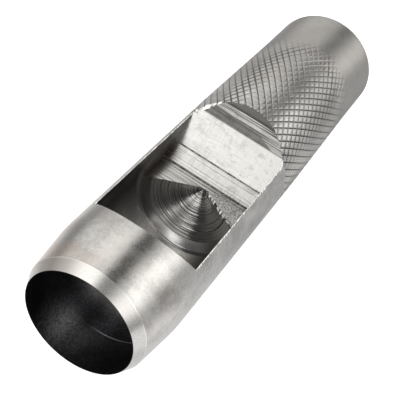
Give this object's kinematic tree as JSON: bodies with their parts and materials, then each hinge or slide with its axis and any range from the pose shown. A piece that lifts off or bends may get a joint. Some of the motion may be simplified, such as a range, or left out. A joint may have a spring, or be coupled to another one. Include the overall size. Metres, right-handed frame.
{
  "type": "drive hole punch",
  "caption": "Hand-struck hollow punch for leather: bevelled round cutting edge, open window with a ramp that throws the slugs out, diamond-knurled grip and flat striking end.",
  "frame": {"origin": "centre of the round cutting edge, in the plane of the edge", "axes": "+X along the tool from the cutting edge to the striking end; +Z out of the ejection window; +Y across the window, so the tool lies on its side with the window up"},
  "size_m": [0.0977, 0.0242, 0.0242],
  "materials": {
    "hardened_edge": "fine turned and lightly polished, bright at the edge",
    "body_steel": "satin turned steel, milled window, diamond knurl on the grip"
  },
  "bodies": {
    "root": {"cutting_ring": "hardened_edge", "punch_body": "body_steel"}
  },
  "joints": []
}
